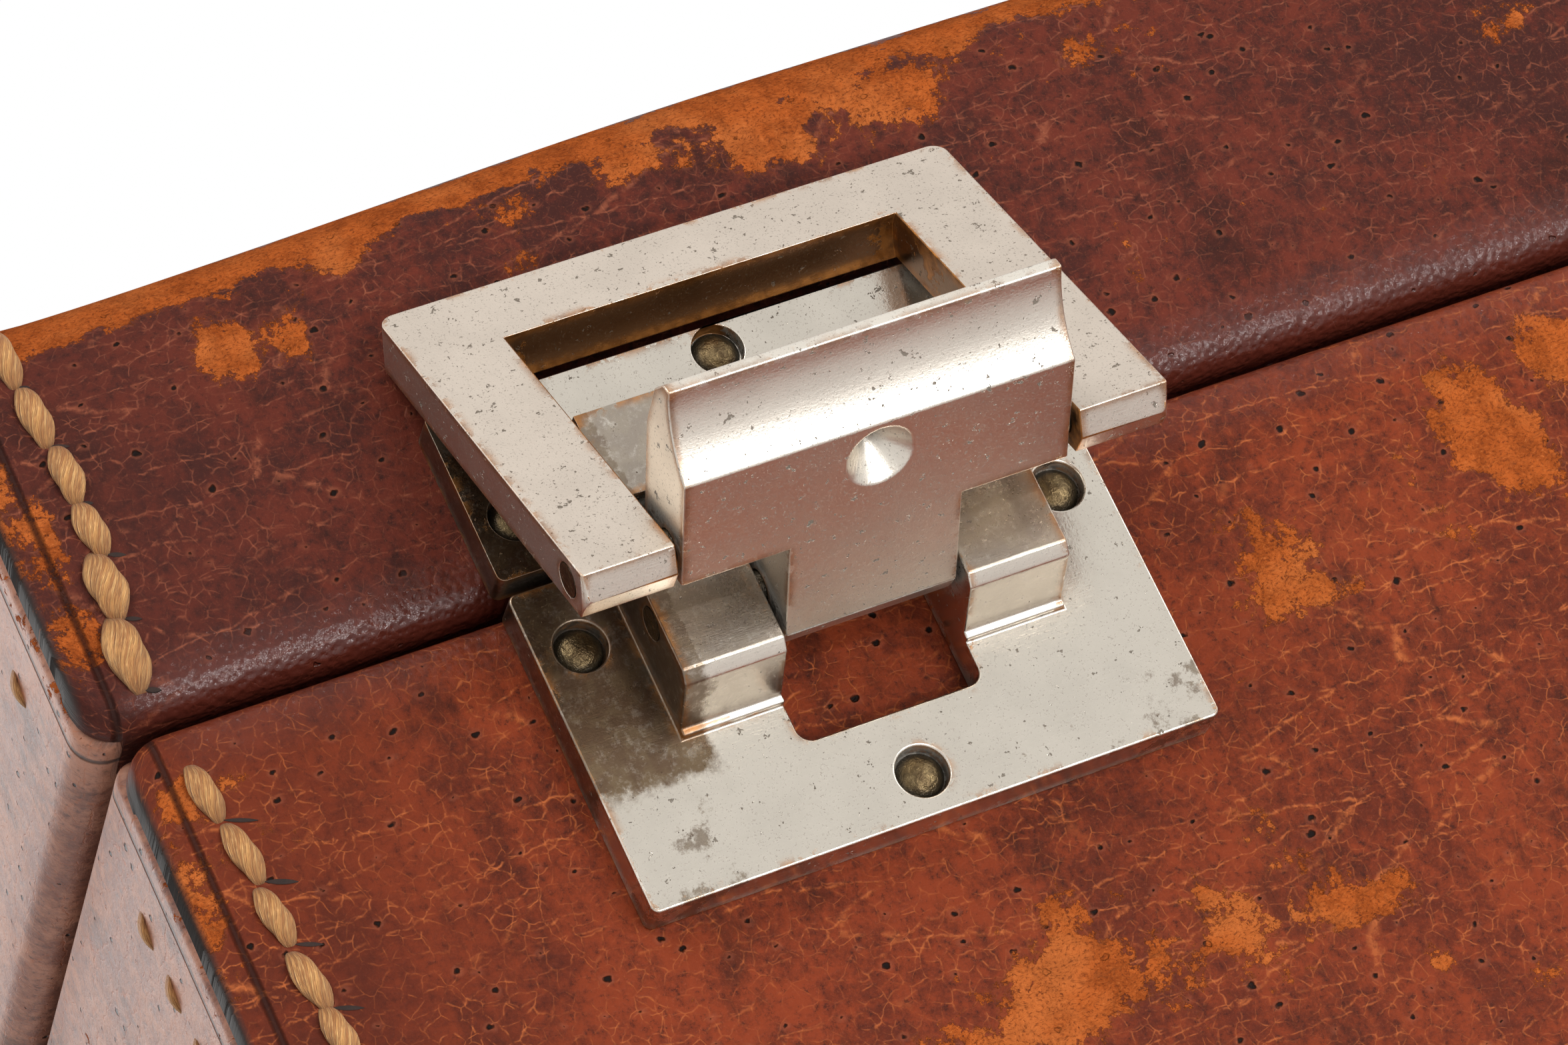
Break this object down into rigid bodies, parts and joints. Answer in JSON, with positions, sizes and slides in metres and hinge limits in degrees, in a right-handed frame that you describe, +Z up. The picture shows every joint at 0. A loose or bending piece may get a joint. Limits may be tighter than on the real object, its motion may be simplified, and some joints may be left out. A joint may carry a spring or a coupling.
{
  "type": "leather camera case",
  "caption": "Box-shaped leather camera case with a hinged lid, over-centre draw latches on the front, a swinging handle on top and padded compartments inside.",
  "frame": {"origin": "middle of the base, on the ground, below the middle of the leather box", "axes": "+X to the case's right seen from the front, +Y to the back, +Z up"},
  "size_m": [0.292, 0.1785, 0.2284],
  "materials": {
    "hide": "worn, crackled, waxed",
    "end_hide": "worn, scuffed",
    "lining": "velvet pile",
    "board": "plain",
    "nickel": "worn nickel plate",
    "brass": "aged"
  },
  "bodies": {
    "body": {"bottom_board": "board", "front_board": "board", "back_board": "board", "left_board": "board", "right_board": "board", "body_leather": "hide", "body_left_leather": "end_hide", "body_right_leather": "end_hide", "body_lining": "lining", "body_lip": "lining", "floor_pad": "lining", "main_divider": "lining", "side_divider": "lining", "small_divider": "lining", "latch_plate_left": "nickel", "latch_plate_right": "nickel", "lever_pin_left": "brass", "lever_pin_right": "brass", "latch_nails": "brass", "hinge_body_leaf_left": "nickel", "hinge_body_leaf_right": "nickel", "hinge_pin_left": "brass", "hinge_pin_right": "brass", "hinge_body_nails": "brass"},
    "lid": {"lid_top_board": "board", "lid_front_board": "board", "lid_back_board": "board", "lid_left_board": "board", "lid_right_board": "board", "lid_leather": "hide", "lid_left_leather": "end_hide", "lid_right_leather": "end_hide", "lid_lining": "lining", "catch_plate_left": "nickel", "catch_plate_right": "nickel", "catch_nails": "brass", "hinge_lid_leaf_left": "nickel", "hinge_lid_leaf_right": "nickel", "hinge_lid_nails": "brass", "handle_bracket_left": "nickel", "handle_bracket_right": "nickel", "handle_pin_left": "brass", "handle_pin_right": "brass", "bracket_nails": "brass"},
    "handle": {"handle_core": "nickel", "handle_grip": "hide"},
    "lever_left": {"lever_left": "nickel", "bail_pin_left": "brass"},
    "bail_left": {"bail_left": "nickel"},
    "lever_right": {"lever_right": "nickel", "bail_pin_right": "brass"},
    "bail_right": {"bail_right": "nickel"}
  },
  "joints": [
    {"name": "lid_hinge", "type": "hinge", "parent": "body", "child": "lid", "pos_m": [0, 0.0761, 0.1825], "axis": [-1, 0, 0], "range_deg": [0, 180]},
    {"name": "handle_swing", "type": "hinge", "parent": "lid", "child": "handle", "pos_m": [0, 0, 0.2224], "axis": [1, 0, 0], "range_deg": [0, 180]},
    {"name": "lever_left_turn", "type": "hinge", "parent": "body", "child": "lever_left", "pos_m": [-0.1, -0.0798, 0.1758], "axis": [1, 0, 0], "range_deg": [0, 111]},
    {"name": "bail_left_turn", "type": "hinge", "parent": "lever_left", "child": "bail_left", "pos_m": [-0.1, -0.08831, 0.17706], "axis": [1, 0, 0], "range_deg": [-82.3, 0]},
    {"name": "lever_right_turn", "type": "hinge", "parent": "body", "child": "lever_right", "pos_m": [0.1, -0.0798, 0.1758], "axis": [1, 0, 0], "range_deg": [0, 111]},
    {"name": "bail_right_turn", "type": "hinge", "parent": "lever_right", "child": "bail_right", "pos_m": [0.1, -0.08831, 0.17706], "axis": [1, 0, 0], "range_deg": [-82.3, 0]}
  ],
  "couplings": [
    {"joint": "bail_left_turn", "follows": "lever_left_turn", "ratio": -0.7401},
    {"joint": "bail_right_turn", "follows": "lever_right_turn", "ratio": -0.7401}
  ]
}
